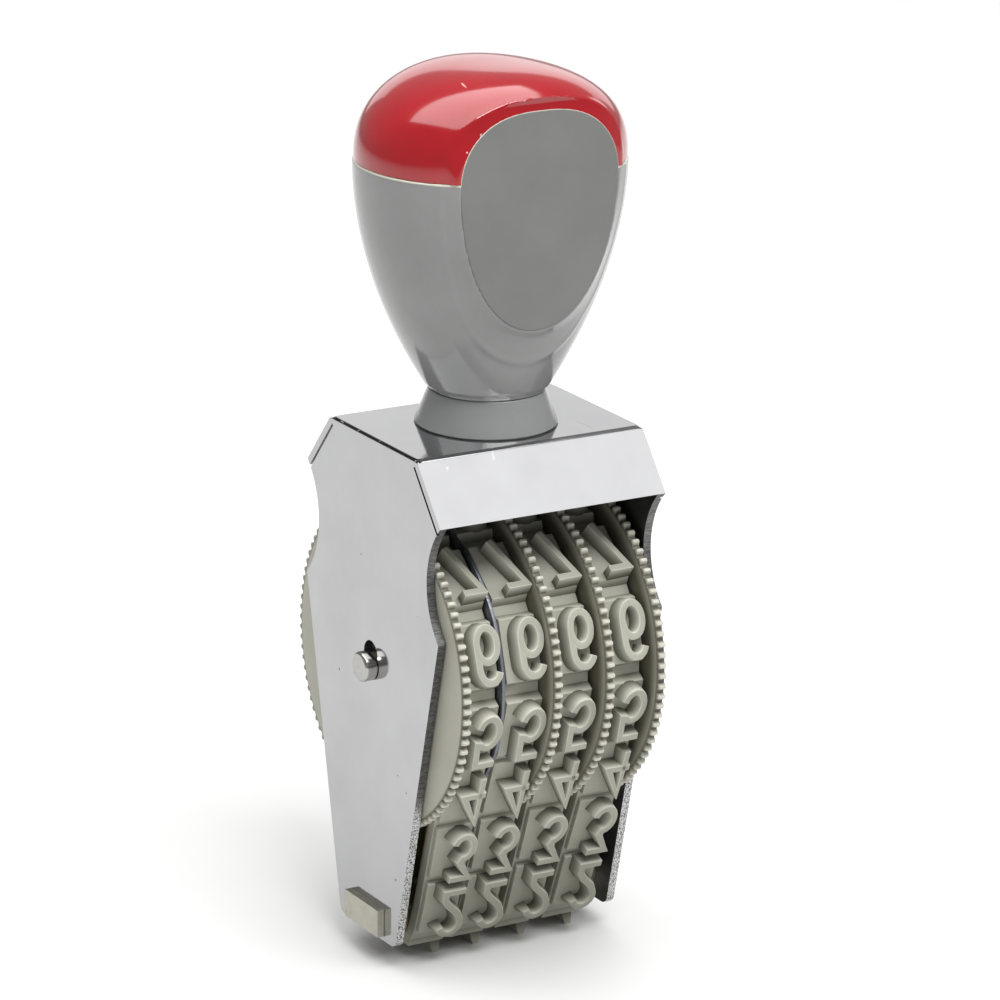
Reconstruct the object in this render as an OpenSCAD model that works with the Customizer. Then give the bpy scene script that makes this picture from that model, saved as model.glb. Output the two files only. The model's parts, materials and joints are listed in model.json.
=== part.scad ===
/* [Frame] */
// Height of the frame, from the bottom edge of the cheeks to the top plate
frame_h = 72.7; // [68:0.1:90]
// Thickness of the folded sheet
sheet_t = 1.2; // [0.8:0.1:1.6]
// Front-to-back depth of the top plate
top_depth = 24; // [22:0.5:30]
// Front-to-back depth across the lower edges of the slanted lips
shoulder_depth = 37.2; // [35:0.1:44]
// Drop from the top plate to the lower edges of the lips
shoulder_drop = 8; // [6:0.1:12]
// Front-to-back depth across the hips, where the cheeks start to taper
hip_depth = 37; // [35:0.1:44]
// Height of the hips above the bottom edge of the cheeks
hip_h = 48.1; // [46:0.1:52]
// Depth of the hollow between lip and hip
waist_sag = 3.4; // [1:0.1:5]
// Front-to-back depth of the cheeks at the bottom
foot_depth = 16.2; // [14:0.1:20]
// Radius of the bottom corners of the cheeks
foot_r = 1.5; // [0.5:0.1:3]

/* [Axle] */
// Height of the axle above the bottom edge of the cheeks
axle_h = 39.7; // [37:0.1:42]
// Diameter of the axle inside the wheels
axle_d = 5; // [4.6:0.1:6]
// Diameter of the necks that pass through the cheeks
neck_d = 3.7; // [3:0.1:4.4]
// Diameter of the riveted heads
head_d = 4.3; // [3.8:0.1:6]
// How far each head stands out of its cheek
head_out = 1.9; // [1.2:0.1:3]
// Travel left above the axle in the slots of the cheeks
slot_travel = 1.7; // [1:0.1:7]
// Radial clearance of each wheel on the axle
bore_clear = 0.05; // [0.02:0.01:0.1]

/* [Number wheels] */
// Outer radius of the toothed flanges
flange_r = 23.5; // [22.9:0.1:25]
// Thickness of a flange
flange_t = 1.3; // [1:0.1:2]
// Number of grip teeth round a flange
tooth_count = 96; // [48:12:120]
// Depth of the grip teeth
tooth_depth = 0.75; // [0.3:0.05:1.2]
// Wall of the drum that carries a band
drum_wall = 1.6; // [1.2:0.1:2.5]
// Outer diameter of the hub
hub_d = 9; // [8:0.5:12]
// Running gap between neighbours on the axle
axial_gap = 0.1; // [0.05:0.05:0.2]
// Running gap between the first flange and its cheek
cheek_gap = 0.2; // [0.1:0.05:0.4]

/* [Type bands] */
// Width of a band
band_w = 6; // [5:0.1:8]
// Thickness of the rubber below the numerals
rubber_t = 2; // [1.6:0.1:2.4]
// Thickness of the woven backing
backing_t = 0.4; // [0.3:0.05:0.6]
// Height of the numerals above the rubber
relief = 2; // [1.2:0.1:2.4]
// Spacing of the numerals along the band
pitch = 10.17; // [9.6:0.01:10.4]
// Height of a numeral
digit_h = 8.8; // [7.5:0.1:9.2]
// Width of a numeral
digit_w = 5; // [4:0.1:5.4]
// Width of the strokes of a numeral
stroke = 1.25; // [0.8:0.05:1.6]
// Width and depth of the grooves between numerals
groove = 1.3; // [0.8:0.1:1.5]
// Side play of the two bands that share the divider disc
pair_play = 0.25; // [0.2:0.05:1]
// Side play of the other two bands
free_play = 1; // [0.2:0.05:1.5]
// Running gap between a drum and the band round it
drum_clear = 0.3; // [0.2:0.05:0.5]

/* [Divider disc] */
// Radius of the steel disc between the first two bands
disc_r = 20.6; // [19:0.1:22]
// Thickness of the disc
disc_t = 0.5; // [0.3:0.1:0.8]

/* [Platen bar] */
// Front-to-back width of the bar
bar_w = 9.4; // [8.4:0.1:9.8]
// Height of the bar
bar_h = 4; // [3:0.1:5]
// How far the bar stands out of each cheek
bar_out = 1.1; // [0.4:0.1:3]
// Radius of the bar's long edges, which the bands turn round
bar_edge_r = 1; // [0.6:0.1:1.5]
// Gap between the bar and the bands round it
bar_gap = 0.05; // [0.03:0.01:0.1]
// Height of the bar's underside above the bottom edge of the cheeks
bar_up = 0.75; // [0.5:0.05:2]
// Clearance of the bar in its windows
bar_clear = 0.1; // [0.05:0.05:0.2]

/* [Handle] */
// Diameter of the collar where it stands on the frame
collar_d1 = 20; // [18:0.1:22]
// Diameter of the collar under the handle
collar_d2 = 16.4; // [14:0.1:18]
// Height of the collar
collar_h = 5; // [3:0.1:10]
// Width of the handle at the seam of its cap
handle_w = 38.6; // [32:0.1:46]
// Depth of the handle at the seam of its cap
handle_d = 33.6; // [29:0.1:37]
// Height of the handle from the collar to the seam
grip_h = 32.8; // [28:0.1:40]
// Height of the cap above the seam
cap_h = 13; // [12:0.1:16]
// Wall of the handle and its cap
shell_t = 2; // [1.4:0.1:2.6]
// Distance of the flats under the label plates from the middle
flat_y = 12; // [11.5:0.1:12.5]
// Width of a label plate
label_w = 24.8; // [20:0.1:26]
// Height of a label plate
label_h = 30.6; // [26:0.1:32]
// How far a label plate reaches above the seam
label_rise = 9; // [6:0.1:9.5]
// Thickness of a label plate
label_t = 1.2; // [0.8:0.1:2]

/* [Fasteners] */
// Diameter of the handle screw
screw_d = 4; // [3:0.5:5]
// Diameter of the screw's head
screw_head_d = 8; // [7:0.5:9]
// Height of the screw's head
screw_head_h = 2.4; // [2:0.1:3]
// Diameter of the washer under the head
washer_d = 10; // [9.5:0.5:14]
// Thickness of the washers
washer_t = 0.6; // [0.4:0.1:1]
// Width of the hexagonal nut across its flats
nut_af = 7; // [6:0.5:9]
// Height of the nut
nut_h = 3.2; // [2:0.1:4]
// Radial clearance of the screw in its holes
screw_clear = 0.2; // [0.1:0.05:0.4]
// Radial clearance between the screw and the nut's thread
thread_clear = 0.05; // [0.03:0.01:0.1]

/* [Hidden] */
$fn = 96;

// Side positions, from the left cheek to the right one
drum_w = [band_w + pair_play, band_w + pair_play, band_w + free_play, band_w + free_play];
inner_w = cheek_gap + 4 * flange_t + drum_w[0] + drum_w[1] + drum_w[2] + drum_w[3]
  + disc_t + 5 * axial_gap + washer_t + axial_gap;
frame_w = inner_w + 2 * sheet_t;
drum_x1 = -inner_w / 2 + cheek_gap + flange_t;
disc_x = drum_x1 + drum_w[0] + axial_gap;
drum_x2 = disc_x + disc_t + axial_gap;
drum_x3 = drum_x2 + drum_w[1] + flange_t + axial_gap;
drum_x4 = drum_x3 + drum_w[2] + flange_t + axial_gap;
drum_x = [drum_x1, drum_x2, drum_x3, drum_x4];
washer_x = drum_x4 + drum_w[3] + flange_t + axial_gap;

// Heights above the printing faces
band_t = rubber_t + backing_t;
loop_z = relief + band_t;
bar_z = loop_z + bar_gap;
foot_z = bar_z - bar_up;
axle_z = foot_z + axle_h;
frame_top = foot_z + frame_h;
roof_z = frame_top - sheet_t;
collar_top = frame_top + collar_h;
seam_z = collar_top + grip_h;
handle_top = seam_z + cap_h;

// The loop of a band: round the drum, straight down and round the bar
flats = 11;
loop_r = pitch / (2 * tan(180 / flats));
drum_r = loop_r - drum_clear;
bend_r = bar_edge_r + bar_gap;
bend_y = bar_w / 2 - bar_edge_r;
bend_z = loop_z + bend_r;
arm = norm([bend_y, axle_z - bend_z]);
run = sqrt(arm * arm - (loop_r - bend_r) * (loop_r - bend_r));
// Angle of the straight's normal, measured from straight down at the axle
turn = atan2(bend_y, axle_z - bend_z) + acos((loop_r - bend_r) / arm);
bend_len = bend_r * turn * PI / 180;
wrap_len = loop_r * (180 - turn) * PI / 180;
loop_len = 2 * (bend_y + bend_len + run + wrap_len);
stations = floor(loop_len / pitch);
blanks = stations - 10;
facing = 1;

// Handle sections are superellipses; its sides have this many points
around = 48;
square = 2.1;
neck_w = collar_d2;
// How fast the grip swells sideways and front to back, and how full its cap is
grip_side = 2;
grip_front = 1.7;
cap_side = 2.3;
cap_front = 3.2;
floor_t = 4;
hole_r = screw_d / 2 + screw_clear;

// Point and direction on the band's inner line, at a distance s from the middle
// of the bar, positive up the front: [y, z, angle of the outward normal from straight down]
function on_loop(s) =
  s < 0 ? let(q = on_loop(-s)) [-q[0], q[1], -q[2]] :
  s <= bend_y ? [-s, loop_z, 0] :
  s <= bend_y + bend_len ?
    let(a = (s - bend_y) / bend_r * 180 / PI) [-bend_y - bend_r * sin(a), bend_z - bend_r * cos(a), a] :
  s <= bend_y + bend_len + run ?
    let(d = s - bend_y - bend_len)
    [-bend_y - bend_r * sin(turn) - d * cos(turn), bend_z - bend_r * cos(turn) + d * sin(turn), turn] :
  let(a = turn + (s - bend_y - bend_len - run) / loop_r * 180 / PI)
  [-loop_r * sin(a), axle_z - loop_r * cos(a), a];

// Outline of the loop at a distance out from its inner line
module loop_area(out) {
  bend_steps = 6;
  wrap_steps = 48;
  bend = [for (k = [0:bend_steps]) let(a = turn * k / bend_steps)
    [bend_y + (bend_r + out) * sin(a), bend_z - (bend_r + out) * cos(a)]];
  polygon(concat(
    [for (p = bend) [-p[0], p[1]]],
    [for (k = [0:wrap_steps]) let(a = turn + (360 - 2 * turn) * k / wrap_steps)
      [-(loop_r + out) * sin(a), axle_z - (loop_r + out) * cos(a)]],
    [for (k = [bend_steps:-1:0]) bend[k]]));
}

// Profiles in this file are drawn as (depth, height) and stand across the width
module across(x, w) {
  translate([x, 0, 0]) rotate([90, 0, 90]) linear_extrude(w) children();
}

// Round bar along the width
module rod(x, w, r) {
  translate([x, 0, axle_z]) rotate([0, 90, 0]) cylinder(r = r, h = w);
}

// Rectangle with round corners
module round_rect(w, h, r) {
  square([w - 2 * r, h], center = true);
  square([w, h - 2 * r], center = true);
  for (i = [-1, 1], j = [-1, 1]) translate([i * (w / 2 - r), j * (h / 2 - r)]) circle(r = r);
}

// Side outline of a cheek
module cheek_area() {
  hip_z = foot_z + hip_h;
  lip_z = frame_top - shoulder_drop;
  chord = norm([(shoulder_depth - hip_depth) / 2, lip_z - hip_z]);
  waist_r = (chord * chord / 4 + waist_sag * waist_sag) / (2 * waist_sag);
  waist_y = (shoulder_depth + hip_depth) / 4 + waist_r - waist_sag;
  foot_y = foot_depth / 2;
  difference() {
    union() {
      polygon([[-foot_y, foot_z + foot_r], [-foot_y + foot_r, foot_z], [foot_y - foot_r, foot_z],
        [foot_y, foot_z + foot_r], [hip_depth / 2, hip_z], [shoulder_depth / 2, lip_z],
        [top_depth / 2, frame_top], [-top_depth / 2, frame_top], [-shoulder_depth / 2, lip_z],
        [-hip_depth / 2, hip_z]]);
      for (m = [-1, 1]) translate([m * (foot_y - foot_r), foot_z + foot_r]) circle(r = foot_r);
    }
    for (m = [-1, 1]) translate([m * waist_y, (hip_z + lip_z) / 2]) circle(r = waist_r);
  }
}

// Slot for the neck of the axle and window for the bar
module cheek_cuts() {
  slot_w = neck_d + 2 * bore_clear;
  translate([0, axle_z]) circle(d = slot_w);
  translate([0, axle_z + slot_travel]) circle(d = slot_w);
  translate([-slot_w / 2, axle_z]) square([slot_w, slot_travel]);
  translate([-bar_w / 2 - bar_clear, bar_z - bar_clear]) square([bar_w + 2 * bar_clear, bar_h + bar_clear]);
}

// One folded sheet: top plate, two cheeks and two slanted lips
module frame() {
  lip_z = frame_top - shoulder_drop;
  fall = [(shoulder_depth - top_depth) / 2, -shoulder_drop];
  in_y = sheet_t / fall[1] * -norm(fall);
  crease = sheet_t * (norm(fall) - fall[0]) / -fall[1];
  color("gainsboro") difference() {
    union() {
      for (x = [-frame_w / 2, frame_w / 2 - sheet_t]) across(x, sheet_t) difference() {
        cheek_area();
        cheek_cuts();
      }
      across(-frame_w / 2, frame_w) polygon([[-shoulder_depth / 2, lip_z], [-top_depth / 2, frame_top],
        [top_depth / 2, frame_top], [shoulder_depth / 2, lip_z], [shoulder_depth / 2 - in_y, lip_z],
        [top_depth / 2 - crease, roof_z], [-top_depth / 2 + crease, roof_z],
        [-shoulder_depth / 2 + in_y, lip_z]]);
    }
    translate([0, 0, roof_z - 1]) cylinder(r = hole_r, h = sheet_t + 2);
  }
}

// Axle with a neck and a riveted head at each end
module axle() {
  body_w = inner_w - 2 * axial_gap;
  color("silver") {
    rod(-body_w / 2, body_w, axle_d / 2);
    rod(-frame_w / 2 - head_out, frame_w + 2 * head_out, neck_d / 2);
    for (m = [0, 1]) mirror([m, 0, 0]) {
      head_x = frame_w / 2 + head_out;
      bevel = 0.3;
      translate([head_x - bevel, 0, axle_z]) rotate([0, 90, 0])
        cylinder(d1 = head_d, d2 = head_d - 2 * bevel, h = bevel);
      rod(frame_w / 2 + axial_gap, head_out - bevel - axial_gap, head_d / 2);
    }
  }
}

module thrust_washer() {
  color("silver") difference() {
    rod(washer_x, washer_t, hub_d / 2);
    rod(washer_x - 1, washer_t + 2, axle_d / 2 + bore_clear);
  }
}

module divider_disc() {
  color("lightsteelblue") difference() {
    rod(disc_x, disc_t, disc_r);
    rod(disc_x - 1, disc_t + 2, axle_d / 2 + bore_clear);
  }
}

// Rounded where the bands run round it, square where it stands in the cheeks
module platen_bar() {
  color("tan") {
    across(-inner_w / 2, inner_w) translate([0, bar_z + bar_h / 2]) round_rect(bar_w, bar_h, bar_edge_r);
    for (m = [0, 1]) mirror([m, 0, 0]) across(inner_w / 2, sheet_t + bar_out)
      translate([-bar_w / 2, bar_z]) square([bar_w, bar_h]);
  }
}

// Toothed rim: flat teeth with sloping sides, as shares of the tooth spacing
module flange_area() {
  root = 0.42;
  tip = 0.22;
  step = 360 / tooth_count;
  function spot(r, a) = [r * cos(a), r * sin(a)];
  polygon([for (i = [0:tooth_count - 1]) each [
    spot(flange_r - tooth_depth, (i - root) * step), spot(flange_r, (i - tip) * step),
    spot(flange_r, (i + tip) * step), spot(flange_r - tooth_depth, (i + root) * step)]]);
}

// Wheel i: a toothed flange, an eleven-sided drum and a hub, moulded in one.
// The first wheel has its flange on the left, the others on the right
module number_wheel(i) {
  x = drum_x[i];
  w = drum_w[i];
  flange_x = i == 0 ? x - flange_t : x + w;
  far_x = i == 0 ? x - flange_t : x;
  color("darkkhaki") difference() {
    union() {
      translate([flange_x, 0, axle_z]) rotate([90, 0, 90]) linear_extrude(flange_t) flange_area();
      translate([x, 0, axle_z]) rotate([90, 0, 90]) linear_extrude(w) difference() {
        rotate(90 - 180 / flats) circle(r = drum_r, $fn = flats);
        circle(r = drum_r * cos(180 / flats) - drum_wall);
      }
      rod(x, w, hub_d / 2);
    }
    rod(far_x - 1, w + flange_t + 2, axle_d / 2 + bore_clear);
  }
}

// Part of a ring between two angles, up to a half turn
module arc(r, a, b) {
  reach = 2 * r;
  mid = (a + b) / 2;
  intersection() {
    difference() {
      circle(r = r);
      circle(r = r - stroke);
    }
    polygon([[0, 0], for (q = [a, (a + mid) / 2, mid, (mid + b) / 2, b]) reach * [cos(q), sin(q)]]);
  }
}

// Stroke from one point to another
module bar_2d(a, b) {
  d = (b - a) / norm(b - a) * stroke / 2;
  n = [-d[1], d[0]];
  polygon([a - n, b - n, b + n, a + n]);
}

// Numeral k, centred, upright
module numeral(k) {
  w = digit_w / 2;
  h = digit_h / 2;
  s = stroke / 2;
  low = -h + w;
  high = h - w;
  if (k == 0) {
    for (m = [0, 1]) mirror([0, m]) translate([0, high]) arc(w, 0, 180);
    for (m = [-1, 1]) translate([m * (w - s), 0]) square([stroke, 2 * high], center = true);
  }
  if (k == 1) {
    translate([s, 0]) square([stroke, 2 * h], center = true);
    bar_2d([s, h - s * 1.5], [-w + s, high]);
  }
  if (k == 2) {
    translate([0, high]) arc(w, -20, 160);
    bar_2d([w - s, high - s], [-w + stroke, -h + s]);
    translate([0, -h + s]) square([2 * w, stroke], center = true);
  }
  if (k == 3) {
    translate([0, h - s]) square([2 * w, stroke], center = true);
    bar_2d([w - stroke, h - s], [0, s]);
    translate([0, low]) {
      arc(w, -80, 95);
      arc(w, -160, -75);
    }
  }
  if (k == 4) {
    translate([s, 0]) square([stroke, 2 * h], center = true);
    translate([0, -h / 3]) square([2 * w, stroke], center = true);
    bar_2d([s, h - s], [-w + s, -h / 3]);
  }
  if (k == 5) {
    translate([0, h - s]) square([2 * w - s, stroke], center = true);
    translate([-w + s * 1.5, h / 2]) square([stroke, h], center = true);
    translate([0, low]) {
      arc(w, -80, 100);
      arc(w, -160, -75);
      arc(w, 95, 130);
    }
  }
  if (k == 6 || k == 9) rotate(k == 9 ? 180 : 0) {
    translate([0, low]) {
      arc(w, 0, 180);
      arc(w, 180, 360);
    }
    translate([-w + s, (low + high) / 2]) square([stroke, 2 * high], center = true);
    translate([0, high]) arc(w, 30, 180);
  }
  if (k == 7) {
    translate([0, h - s]) square([2 * w, stroke], center = true);
    bar_2d([w - s, h - s], [-s, -h]);
  }
  if (k == 8) {
    for (m = [0, 1]) mirror([0, m]) translate([0, h / 2 - s / 2]) {
      arc(h / 2 + s / 2, 0, 180);
      arc(h / 2 + s / 2, 180, 360);
    }
  }
}

// Rubber of band i: the facing numeral is at the bottom, the next ones climb the front.
// The numerals are mirror images, so that they print the right way round
module type_band(i) {
  x = drum_x[i] + (drum_w[i] - band_w) / 2;
  first = -blanks - facing;
  sink = 0.4;
  color("darkgray") {
    across(x, band_w) difference() {
      loop_area(band_t);
      loop_area(backing_t);
      for (k = [first:first + stations]) {
        q = on_loop((k - 0.5) * pitch);
        translate([q[0], q[1]]) rotate(-q[2]) translate([0, -band_t])
          polygon([[-groove, -groove], [0, groove], [groove, -groove]]);
      }
    }
    for (k = [0:9]) {
      q = on_loop((k - facing) * pitch);
      translate([x + band_w / 2, q[0], q[1]]) rotate([-q[2] - 180, 0, 0])
        translate([0, 0, band_t - sink]) linear_extrude(relief + sink) mirror([0, 1]) numeral(k);
    }
  }
}

// Woven backing of band i
module band_backing(i) {
  color("khaki") across(drum_x[i] + (drum_w[i] - band_w) / 2, band_w) difference() {
    loop_area(backing_t);
    loop_area(0);
  }
}

module handle_collar() {
  color("gray") difference() {
    translate([0, 0, frame_top]) cylinder(d1 = collar_d1, d2 = collar_d2, h = collar_h);
    translate([0, 0, frame_top - 1]) cylinder(r = hole_r, h = collar_h + 2);
  }
}

// Point k of a section with half sizes a and b, its front and back cut flat
function section(a, b, z, flat) = [for (k = [0:around - 1])
  let(c = cos(360 * k / around), s = sin(360 * k / around),
    y = b * sign(s) * pow(abs(s), 2 / square))
  [a * sign(c) * pow(abs(c), 2 / square), max(-flat, min(flat, y)), z]];

// Round section, with its points at the same places round the handle
function ring(r, z) = [for (k = [0:around - 1]) [r * cos(360 * k / around), r * sin(360 * k / around), z]];

// Skin through sections; closed leaves a hole down the middle
module skin(sections, closed) {
  n = len(sections);
  last = closed ? n - 1 : n - 2;
  points = [for (s = sections) each s];
  sides = [for (i = [0:last], k = [0:around - 1])
    let(p = i * around, q = (i + 1) % n * around, m = (k + 1) % around)
    each [[p + k, q + m, p + m], [p + k, q + k, q + m]]];
  ends = closed ? [] : [[for (k = [0:around - 1]) k],
    [for (k = [around - 1:-1:0]) (n - 1) * around + k]];
  polyhedron(points = points, faces = concat(sides, ends));
}

// Half size of the grip at a share u of its height
function swell(u, low, high, speed) = low + (high - low) * (1 - pow(1 - u, speed));

// Outer section of the grip at a share u, moved inwards by a wall
function grip_section(u, wall) = let(
    a = swell(u, neck_w / 2, handle_w / 2, grip_side) - wall,
    b = swell(u, neck_w / 2, handle_d / 2, grip_front) - wall)
  section(a, b, collar_top + u * grip_h, flat_y - wall);

// Section of the cap at a share v of its height, moved inwards by a wall
function cap_section(v, wall) = let(
    a = (handle_w / 2 - wall) * pow(1 - pow(v, cap_side), 1 / cap_side),
    b = (handle_d / 2 - wall) * pow(1 - pow(v, cap_front), 1 / cap_front))
  section(a, b, seam_z + v * (cap_h - wall), flat_y - wall);

// Hollow grip with a thick floor and a hole for the screw
module handle_body() {
  floor_u = floor_t / grip_h;
  steps = 9;
  color("lightgray") skin(concat(
    [ring(hole_r, collar_top)],
    [for (u = [0:0.1:1]) grip_section(u, 0)],
    [for (k = [0:steps]) grip_section(1 + (floor_u - 1) * k / steps, shell_t)],
    [ring(hole_r, collar_top + floor_t)]), true);
}

// Domed cap, hollow from below
module handle_cap() {
  steps = [0, 0.2, 0.4, 0.55, 0.7, 0.8, 0.88, 0.94, 0.98, 0.998];
  color("crimson") skin(concat(
    [for (k = [len(steps) - 1:-1:0]) cap_section(steps[k], shell_t)],
    [for (v = steps) cap_section(v, 0)]), false);
}

// Egg-shaped plate on the flat of the handle, broad end up
module label_plate(side) {
  broad = 0.31;
  round_top = 0.75;
  round_foot = 0.95;
  base_z = seam_z + label_rise - label_h;
  outline = [for (t = [0:7.5:359]) let(
      up = sin(t) > 0,
      h = label_h * (up ? broad : 1 - broad),
      c = cos(t),
      s = sin(t),
      x = label_w / 2 * sign(c) * pow(abs(c), up ? round_top : round_foot))
    [x, base_z + label_h * (1 - broad) + h * s]];
  color("dimgray") rotate([0, 0, side > 0 ? 180 : 0])
    translate([0, -flat_y, 0]) rotate([90, 0, 0]) linear_extrude(label_t) polygon(outline);
}

// Pan-head screw, put in from under the top plate
module handle_screw() {
  tip_z = collar_top + floor_t + nut_h + 1;
  color("silver") {
    translate([0, 0, roof_z - washer_t - screw_head_h]) cylinder(d = screw_head_d, h = screw_head_h);
    translate([0, 0, roof_z - washer_t]) cylinder(d = screw_d, h = tip_z - roof_z + washer_t);
  }
}

module screw_washer() {
  color("silver") translate([0, 0, roof_z - washer_t]) difference() {
    cylinder(d = washer_d, h = washer_t);
    translate([0, 0, -1]) cylinder(r = hole_r, h = washer_t + 2);
  }
}

module handle_nut() {
  color("silver") translate([0, 0, collar_top + floor_t]) difference() {
    cylinder(r = nut_af / 2 / cos(30), h = nut_h, $fn = 6);
    translate([0, 0, -1]) cylinder(r = screw_d / 2 + thread_clear, h = nut_h + 2);
  }
}

frame();
axle();
thrust_washer();
divider_disc();
platen_bar();
for (i = [0:3]) {
  number_wheel(i);
  type_band(i);
  band_backing(i);
}
handle_collar();
handle_body();
handle_cap();
label_plate(-1);  // label_plate_front
label_plate(1);  // label_plate_back
handle_screw();
screw_washer();
handle_nut();
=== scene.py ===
import json
import math
import random
import bmesh
import bpy
import numpy as np
from mathutils import Matrix, Vector


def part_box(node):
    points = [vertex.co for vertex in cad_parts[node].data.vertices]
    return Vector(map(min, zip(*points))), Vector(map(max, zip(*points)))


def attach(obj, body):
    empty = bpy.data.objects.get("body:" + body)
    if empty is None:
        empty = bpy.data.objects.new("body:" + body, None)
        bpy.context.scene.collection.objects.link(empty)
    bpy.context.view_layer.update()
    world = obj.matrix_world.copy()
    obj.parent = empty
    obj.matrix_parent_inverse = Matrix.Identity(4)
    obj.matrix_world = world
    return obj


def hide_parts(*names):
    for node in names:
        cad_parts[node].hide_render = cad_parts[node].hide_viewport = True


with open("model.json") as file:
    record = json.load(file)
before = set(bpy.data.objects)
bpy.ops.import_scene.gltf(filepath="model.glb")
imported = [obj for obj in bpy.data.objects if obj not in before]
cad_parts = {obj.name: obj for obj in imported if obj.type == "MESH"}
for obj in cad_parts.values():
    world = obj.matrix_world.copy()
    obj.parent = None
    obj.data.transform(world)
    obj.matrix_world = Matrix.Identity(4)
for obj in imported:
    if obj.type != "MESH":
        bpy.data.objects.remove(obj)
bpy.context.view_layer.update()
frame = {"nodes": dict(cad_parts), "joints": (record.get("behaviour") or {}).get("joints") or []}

mm = 0.001
axleHeight = frame["joints"][0]["pos_m"][2] / mm
print("frame loaded, axle at", round(axleHeight, 2), "mm")


# shared helpers: pieces are built in millimetres and scaled when they are finished

def cadBox(node):
    low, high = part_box(node)
    return low / mm, high / mm


def turnedTo(x, y, z):
    return Matrix(((x[0], y[0], z[0], 0), (x[1], y[1], z[1], 0), (x[2], y[2], z[2], 0), (0, 0, 0, 1)))


def markSharp(bm, angle):
    for face in bm.faces:
        face.smooth = True
    for edge in bm.edges:
        edge.smooth = len(edge.link_faces) == 2 and edge.calc_face_angle(0) < math.radians(angle)


def finishPiece(bm, name, body, nodes, materials, sharp=32, merge=0.001):
    bmesh.ops.remove_doubles(bm, verts=bm.verts, dist=merge)
    bmesh.ops.recalc_face_normals(bm, faces=bm.faces)
    markSharp(bm, sharp)
    bmesh.ops.scale(bm, vec=(mm, mm, mm), verts=bm.verts)
    mesh = bpy.data.meshes.new(name)
    bm.to_mesh(mesh)
    bm.free()
    piece = bpy.data.objects.new(name, mesh)
    bpy.context.scene.collection.objects.link(piece)
    for material in materials:
        mesh.materials.append(material)
    flat = piece.modifiers.new("flat_normals", "WEIGHTED_NORMAL")
    flat.keep_sharp = True
    flat.weight = 80
    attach(piece, body)
    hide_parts(*nodes)


def nodeCopy(node):
    bm = bmesh.new()
    bm.from_mesh(frame["nodes"][node].data)
    bmesh.ops.scale(bm, vec=(1 / mm,) * 3, verts=bm.verts)
    bmesh.ops.remove_doubles(bm, verts=bm.verts, dist=0.002)
    bmesh.ops.dissolve_degenerate(bm, edges=bm.edges, dist=0.001)
    bmesh.ops.dissolve_limit(bm, angle_limit=math.radians(0.4), verts=bm.verts, edges=bm.edges)
    return bm


def bevelEdges(bm, edges, width, steps):
    bmesh.ops.bevel(bm, geom=edges, affect="EDGES", offset=width, segments=steps, profile=0.5,
                    material=-1, clamp_overlap=True, offset_type="OFFSET")


def sharpEdges(bm, angle):
    return [e for e in bm.edges if len(e.link_faces) == 2 and e.calc_face_angle(0) > math.radians(angle)]


def bevelledCopy(node, body, material, width, angle):
    bm = nodeCopy(node)
    bevelEdges(bm, sharpEdges(bm, angle), width, 2)
    finishPiece(bm, node + "_finish", body, [node], [material])


def pour(bm, part):
    # empties one bmesh into another
    mesh = bpy.data.meshes.new("part")
    part.to_mesh(mesh)
    part.free()
    bm.from_mesh(mesh)
    bpy.data.meshes.remove(mesh)


# camera, light and floor

view = {"target": (0.00251, 0, 0.06446), "distance": 0.69206, "azimuth": -31.096, "elevation": 17.494,
        "roll": 1.075, "lens": 178.24}


def makeCamera(v):
    camera = bpy.data.objects.new("camera", bpy.data.cameras.new("camera"))
    turn = (Matrix.Rotation(math.radians(v["azimuth"]), 4, "Z")
            @ Matrix.Rotation(math.radians(90 - v["elevation"]), 4, "X")
            @ Matrix.Rotation(math.radians(v["roll"]), 4, "Z"))
    back = turn.col[2].to_3d()
    camera.matrix_world = Matrix.Translation(Vector(v["target"]) + back * v["distance"]) @ turn
    camera.data.lens = v["lens"]
    camera.data.sensor_width = 36
    camera.data.clip_end = 50
    bpy.context.scene.collection.objects.link(camera)
    bpy.context.scene.camera = camera


studio = {
    "world": (1.0, 1.0, 1.0, 0.3),
    "floor": (0.7, 0.7, 0.695),
    "lights": [
        # name, place, aimed at, size, watts
        ("overhead_box", (-0.15, 0.22, 1.45), (-0.15, 0.22, 0), (1.9, 1.5), 26),
        ("lip_box", (1.08, -0.98, 1.38), (0, 0, 0.07), (1.3, 0.85), 4.8),
        ("front_key", (0.05, -1.0, 1.6), (0, 0, 0.05), (1.3, 0.6), 25),
        ("back_box", (0.9, 1.45, 0.5), (0, 0, 0.08), (1.9, 0.6), 2.8),
    ],
}


def makeStudio(s):
    scene = bpy.context.scene
    world = bpy.data.worlds.new("studio")
    world.use_nodes = True
    background = world.node_tree.nodes["Background"]
    background.inputs["Color"].default_value = (*s["world"][:3], 1)
    background.inputs["Strength"].default_value = s["world"][3]
    scene.world = world
    scene.view_settings.view_transform = "Standard"
    for name, place, aim, size, watts in s["lights"]:
        data = bpy.data.lights.new(name, "AREA")
        data.shape = "RECTANGLE"
        data.size, data.size_y = size
        data.energy = watts
        light = bpy.data.objects.new(name, data)
        light.location = place
        light.rotation_euler = (Vector(aim) - Vector(place)).to_track_quat("-Z", "Y").to_euler()
        scene.collection.objects.link(light)
    bm = bmesh.new()
    bmesh.ops.create_grid(bm, x_segments=1, y_segments=1, size=6)
    mesh = bpy.data.meshes.new("floor")
    bm.to_mesh(mesh)
    bm.free()
    floor = bpy.data.objects.new("floor", mesh)
    scene.collection.objects.link(floor)
    mesh.materials.append(makeFloorMaterial(s["floor"]))


# node groups

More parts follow.
